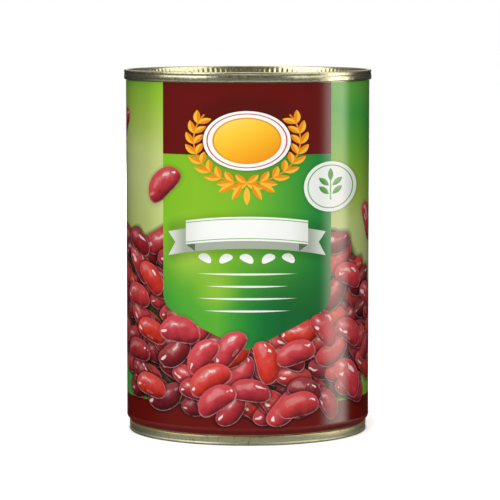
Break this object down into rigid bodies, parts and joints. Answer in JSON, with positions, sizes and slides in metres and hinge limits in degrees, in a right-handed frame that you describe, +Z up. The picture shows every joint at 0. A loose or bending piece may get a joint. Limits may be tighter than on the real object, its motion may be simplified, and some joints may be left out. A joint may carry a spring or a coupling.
{
  "type": "food can",
  "caption": "Shut round food can: printed body of kidney beans, a recessed top end with a rolled rim, and a smaller stackable base.",
  "frame": {"origin": "centre of the can's foot, on the surface that it stands on", "axes": "+Z up along the can's axis, from the base end to the top end; the front of the print faces -Y"},
  "size_m": [0.0746, 0.0746, 0.109],
  "materials": {
    "printed_tinplate": "glossy printed tinplate: green, dark red and bean-red fields under clear varnish",
    "lacquered_tinplate": "rolled tinplate with a pale gold lacquer, satin"
  },
  "bodies": {
    "root": {"body": "printed_tinplate", "top_end": "lacquered_tinplate", "base_end": "lacquered_tinplate"}
  },
  "joints": []
}
